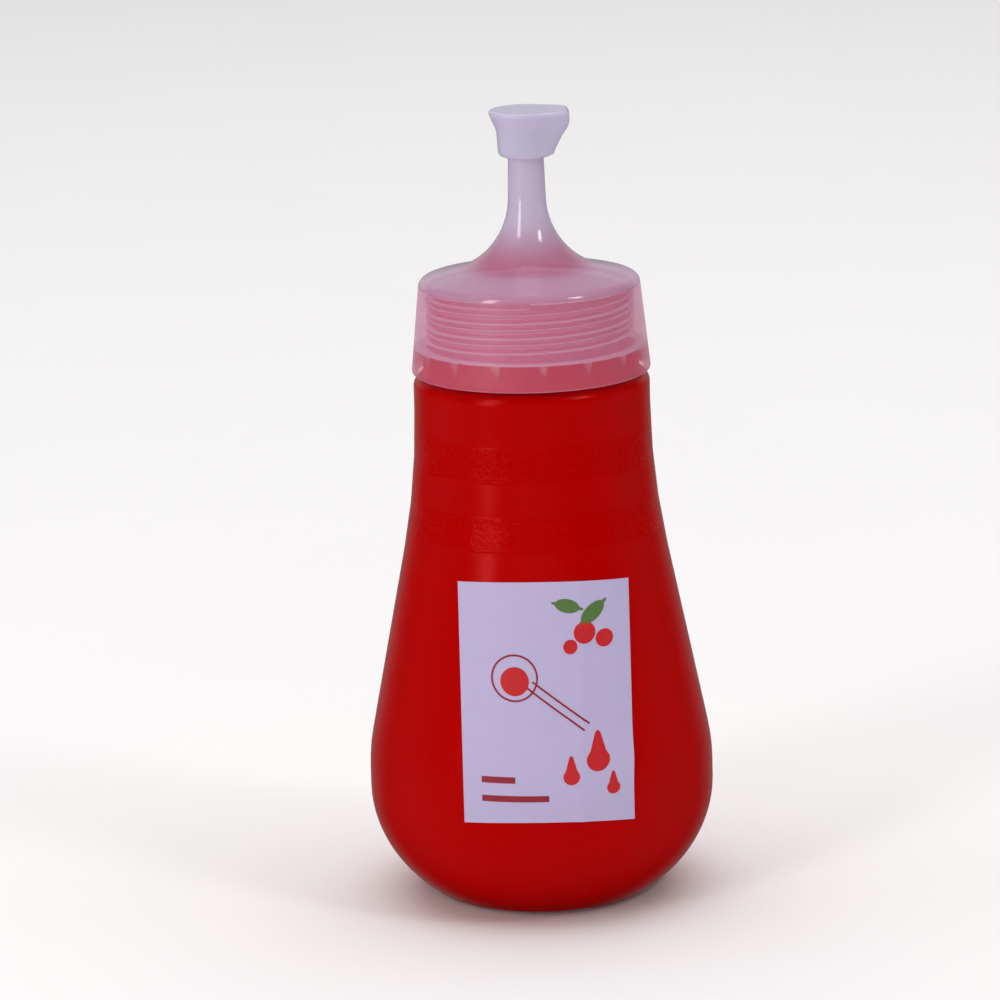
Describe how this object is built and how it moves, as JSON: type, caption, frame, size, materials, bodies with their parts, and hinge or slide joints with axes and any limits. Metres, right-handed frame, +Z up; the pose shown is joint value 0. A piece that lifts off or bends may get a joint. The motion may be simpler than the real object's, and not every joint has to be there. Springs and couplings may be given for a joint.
{
  "type": "squeeze sauce bottle",
  "caption": "Teardrop squeeze sauce bottle with a milky nozzle cap, a push-on tip cap and a paper label on the belly.",
  "frame": {"origin": "centre of the flat base, on the plane the bottle stands on", "axes": "+Z up along the bottle's axis, -Y towards the label, +X towards the tip cap's lift lug"},
  "size_m": [0.0848, 0.0853, 0.1935],
  "materials": {
    "bottle_plastic": "opaque red soft polyethylene, satin, with two finely etched grip bands",
    "cap_plastic": "milky translucent polyethylene, smooth with a soft gloss",
    "tip_plastic": "milky translucent polyethylene, smooth with a soft gloss",
    "label_paper": null
  },
  "bodies": {
    "root": {"bottle": "bottle_plastic", "nozzle_cap": "cap_plastic", "tip_cap": "tip_plastic", "label": "label_paper"}
  },
  "joints": []
}
